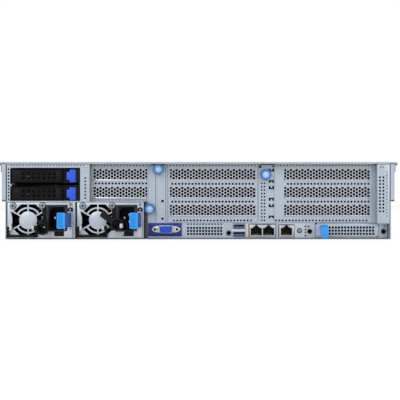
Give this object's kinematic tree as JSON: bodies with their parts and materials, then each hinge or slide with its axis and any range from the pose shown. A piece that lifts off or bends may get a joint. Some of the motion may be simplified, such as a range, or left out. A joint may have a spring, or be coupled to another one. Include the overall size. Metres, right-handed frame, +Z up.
{
  "type": "2u rack server",
  "caption": "Two-unit rack server with rear drive carriers, paired power supplies, riser slots, a port row, internal fans, front drive bays, rack ears and a sliding lid.",
  "frame": {"origin": "centre of the bottom of the bounding box", "axes": "+Z up; the rear panel with the power supplies faces -Y, the front drive bays and ears face +Y, +X is to the right seen from behind"},
  "size_m": [0.4826, 0.786, 0.087],
  "materials": {
    "zinc_steel": "zinc-plated sheet with a fine spangle",
    "light_steel": "smooth plated sheet, satin",
    "aluminium_fin": "extruded, plain",
    "black_plastic": "fine moulded texture",
    "grey_plastic": "fine moulded texture",
    "duct_plastic": "fine moulded texture",
    "latch_blue": "smooth moulded",
    "carrier_blue": "smooth moulded",
    "screw_blue": "knurled moulded ring on a steel screw",
    "vga_blue": "smooth moulded",
    "board_green": "solder mask",
    "module_green": "solder mask with black packages",
    "socket_steel": "plated shells",
    "button_teal": "smooth, translucent"
  },
  "bodies": {
    "root": {"chassis_tray": "zinc_steel", "rear_panel": "zinc_steel", "front_cover": "zinc_steel", "psu_cage": "zinc_steel", "rear_drive_cage": "zinc_steel", "low_profile_bracket": "zinc_steel", "left_riser": "zinc_steel", "right_riser": "zinc_steel", "low_profile_covers": "zinc_steel", "left_slot_covers": "zinc_steel", "right_slot_covers": "zinc_steel", "main_board": "board_green", "heatsinks": "aluminium_fin", "memory_modules": "module_green", "air_duct": "duct_plastic", "fan_bracket": "black_plastic", "front_drive_cage": "zinc_steel", "left_ear": "black_plastic", "right_ear": "black_plastic", "vga_port": "vga_blue", "usb_ports": "socket_steel", "network_ports": "socket_steel"},
    "top_cover": {"top_cover": "zinc_steel"},
    "cover_latch": {"cover_latch": "black_plastic"},
    "id_button": {"id_button": "button_teal"},
    "power_button": {"power_button": "button_teal"},
    "network_card": {"network_card": "zinc_steel"},
    "thumbscrew_1": {"thumbscrew_1": "screw_blue"},
    "thumbscrew_2": {"thumbscrew_2": "screw_blue"},
    "thumbscrew_3": {"thumbscrew_3": "screw_blue"},
    "rear_carrier_1": {"rear_carrier_1": "black_plastic"},
    "rear_lever_1": {"rear_lever_1": "black_plastic"},
    "rear_latch_1": {"rear_latch_1": "carrier_blue"},
    "rear_carrier_2": {"rear_carrier_2": "black_plastic"},
    "rear_lever_2": {"rear_lever_2": "black_plastic"},
    "rear_latch_2": {"rear_latch_2": "carrier_blue"},
    "psu_case_1": {"psu_case_1": "light_steel", "psu_inlet_1": "grey_plastic", "psu_clamp_1": "black_plastic"},
    "psu_fan_1": {"psu_fan_1": "black_plastic"},
    "psu_latch_1": {"psu_latch_1": "latch_blue"},
    "psu_handle_1": {"psu_handle_1": "black_plastic"},
    "psu_case_2": {"psu_case_2": "light_steel", "psu_inlet_2": "grey_plastic", "psu_clamp_2": "black_plastic"},
    "psu_fan_2": {"psu_fan_2": "black_plastic"},
    "psu_latch_2": {"psu_latch_2": "latch_blue"},
    "psu_handle_2": {"psu_handle_2": "black_plastic"},
    "system_fan_1": {"system_fan_1": "black_plastic"},
    "system_fan_2": {"system_fan_2": "black_plastic"},
    "system_fan_3": {"system_fan_3": "black_plastic"},
    "system_fan_4": {"system_fan_4": "black_plastic"},
    "front_carrier_1": {"front_carrier_1": "black_plastic"},
    "front_carrier_2": {"front_carrier_2": "black_plastic"},
    "front_carrier_3": {"front_carrier_3": "black_plastic"},
    "front_carrier_4": {"front_carrier_4": "black_plastic"},
    "front_carrier_5": {"front_carrier_5": "black_plastic"},
    "front_carrier_6": {"front_carrier_6": "black_plastic"},
    "front_carrier_7": {"front_carrier_7": "black_plastic"},
    "front_carrier_8": {"front_carrier_8": "black_plastic"}
  },
  "joints": [
    {"name": "cover_slide", "type": "slide", "parent": "root", "child": "top_cover", "axis": [0, -1, 0], "range_m": [0, 0.018]},
    {"name": "cover_latch_hinge", "type": "hinge", "parent": "top_cover", "child": "cover_latch", "pos_m": [0, 0.003, 0.0844], "axis": [-1, 0, 0], "range_deg": [0, 75]},
    {"name": "thumbscrew_1_turn", "type": "hinge", "parent": "root", "child": "thumbscrew_1", "pos_m": [-0.0452, -0.3405, 0.0793], "axis": [0, -1, 0], "range_deg": [0, 720]},
    {"name": "thumbscrew_2_turn", "type": "hinge", "parent": "root", "child": "thumbscrew_2", "pos_m": [-0.0549, -0.3405, 0.0341], "axis": [0, -1, 0], "range_deg": [0, 720]},
    {"name": "thumbscrew_3_turn", "type": "hinge", "parent": "root", "child": "thumbscrew_3", "pos_m": [0.0768, -0.3405, 0.073], "axis": [0, -1, 0], "range_deg": [0, 720]},
    {"name": "rear_carrier_1_slide", "type": "slide", "parent": "root", "child": "rear_carrier_1", "axis": [0, -1, 0], "range_m": [0, 0.11]},
    {"name": "rear_lever_1_hinge", "type": "hinge", "parent": "rear_carrier_1", "child": "rear_lever_1", "pos_m": [-0.2086, -0.35, 0.07125], "axis": [0, 0, -1], "range_deg": [0, 60]},
    {"name": "rear_latch_1_slide", "type": "slide", "parent": "rear_carrier_1", "child": "rear_latch_1", "axis": [-1, 0, 0], "range_m": [0, 0.0025], "stiffness_N_per_m": 120, "springref_m": -0.002},
    {"name": "rear_carrier_2_slide", "type": "slide", "parent": "root", "child": "rear_carrier_2", "axis": [0, -1, 0], "range_m": [0, 0.11]},
    {"name": "rear_lever_2_hinge", "type": "hinge", "parent": "rear_carrier_2", "child": "rear_lever_2", "pos_m": [-0.2086, -0.35, 0.05135], "axis": [0, 0, -1], "range_deg": [0, 60]},
    {"name": "rear_latch_2_slide", "type": "slide", "parent": "rear_carrier_2", "child": "rear_latch_2", "axis": [-1, 0, 0], "range_m": [0, 0.0025], "stiffness_N_per_m": 120, "springref_m": -0.002},
    {"name": "psu_1_slide", "type": "slide", "parent": "root", "child": "psu_case_1", "axis": [0, -1, 0], "range_m": [0, 0.18]},
    {"name": "psu_fan_1_spin", "type": "hinge", "parent": "psu_case_1", "child": "psu_fan_1", "pos_m": [-0.19125, -0.343, 0.0213], "axis": [0, 1, 0], "continuous": true},
    {"name": "psu_latch_1_hinge", "type": "hinge", "parent": "psu_case_1", "child": "psu_latch_1", "pos_m": [-0.14425, -0.3552, 0.0213], "axis": [0, 0, -1], "range_deg": [0, 7], "stiffness_Nm_per_rad": 0.2, "springref_deg": -1.15},
    {"name": "psu_handle_1_hinge", "type": "hinge", "parent": "psu_case_1", "child": "psu_handle_1", "pos_m": [-0.19755, -0.356, 0.0126], "axis": [-1, 0, 0], "range_deg": [0, 90]},
    {"name": "psu_2_slide", "type": "slide", "parent": "root", "child": "psu_case_2", "axis": [0, -1, 0], "range_m": [0, 0.18]},
    {"name": "psu_fan_2_spin", "type": "hinge", "parent": "psu_case_2", "child": "psu_fan_2", "pos_m": [-0.11285, -0.343, 0.0213], "axis": [0, 1, 0], "continuous": true},
    {"name": "psu_latch_2_hinge", "type": "hinge", "parent": "psu_case_2", "child": "psu_latch_2", "pos_m": [-0.06585, -0.3552, 0.0213], "axis": [0, 0, -1], "range_deg": [0, 7], "stiffness_Nm_per_rad": 0.2, "springref_deg": -1.15},
    {"name": "psu_handle_2_hinge", "type": "hinge", "parent": "psu_case_2", "child": "psu_handle_2", "pos_m": [-0.11915, -0.356, 0.0126], "axis": [-1, 0, 0], "range_deg": [0, 90]},
    {"name": "network_card_slide", "type": "slide", "parent": "root", "child": "network_card", "axis": [0, -1, 0], "range_m": [0, 0.105]},
    {"name": "id_button_press", "type": "slide", "parent": "root", "child": "id_button", "axis": [0, 1, 0], "range_m": [0, 0.0008], "stiffness_N_per_m": 200, "springref_m": -0.001},
    {"name": "power_button_press", "type": "slide", "parent": "root", "child": "power_button", "axis": [0, -1, 0], "range_m": [0, 0.0012], "stiffness_N_per_m": 200, "springref_m": -0.001},
    {"name": "system_fan_1_spin", "type": "hinge", "parent": "root", "child": "system_fan_1", "pos_m": [-0.1575, 0.117, 0.0418], "axis": [0, 1, 0], "continuous": true},
    {"name": "system_fan_2_spin", "type": "hinge", "parent": "root", "child": "system_fan_2", "pos_m": [-0.0525, 0.117, 0.0418], "axis": [0, 1, 0], "continuous": true},
    {"name": "system_fan_3_spin", "type": "hinge", "parent": "root", "child": "system_fan_3", "pos_m": [0.0525, 0.117, 0.0418], "axis": [0, 1, 0], "continuous": true},
    {"name": "system_fan_4_spin", "type": "hinge", "parent": "root", "child": "system_fan_4", "pos_m": [0.1575, 0.117, 0.0418], "axis": [0, 1, 0], "continuous": true},
    {"name": "front_carrier_1_slide", "type": "slide", "parent": "root", "child": "front_carrier_1", "axis": [0, 1, 0], "range_m": [0, 0.17]},
    {"name": "front_carrier_2_slide", "type": "slide", "parent": "root", "child": "front_carrier_2", "axis": [0, 1, 0], "range_m": [0, 0.17]},
    {"name": "front_carrier_3_slide", "type": "slide", "parent": "root", "child": "front_carrier_3", "axis": [0, 1, 0], "range_m": [0, 0.17]},
    {"name": "front_carrier_4_slide", "type": "slide", "parent": "root", "child": "front_carrier_4", "axis": [0, 1, 0], "range_m": [0, 0.17]},
    {"name": "front_carrier_5_slide", "type": "slide", "parent": "root", "child": "front_carrier_5", "axis": [0, 1, 0], "range_m": [0, 0.17]},
    {"name": "front_carrier_6_slide", "type": "slide", "parent": "root", "child": "front_carrier_6", "axis": [0, 1, 0], "range_m": [0, 0.17]},
    {"name": "front_carrier_7_slide", "type": "slide", "parent": "root", "child": "front_carrier_7", "axis": [0, 1, 0], "range_m": [0, 0.17]},
    {"name": "front_carrier_8_slide", "type": "slide", "parent": "root", "child": "front_carrier_8", "axis": [0, 1, 0], "range_m": [0, 0.17]}
  ]
}
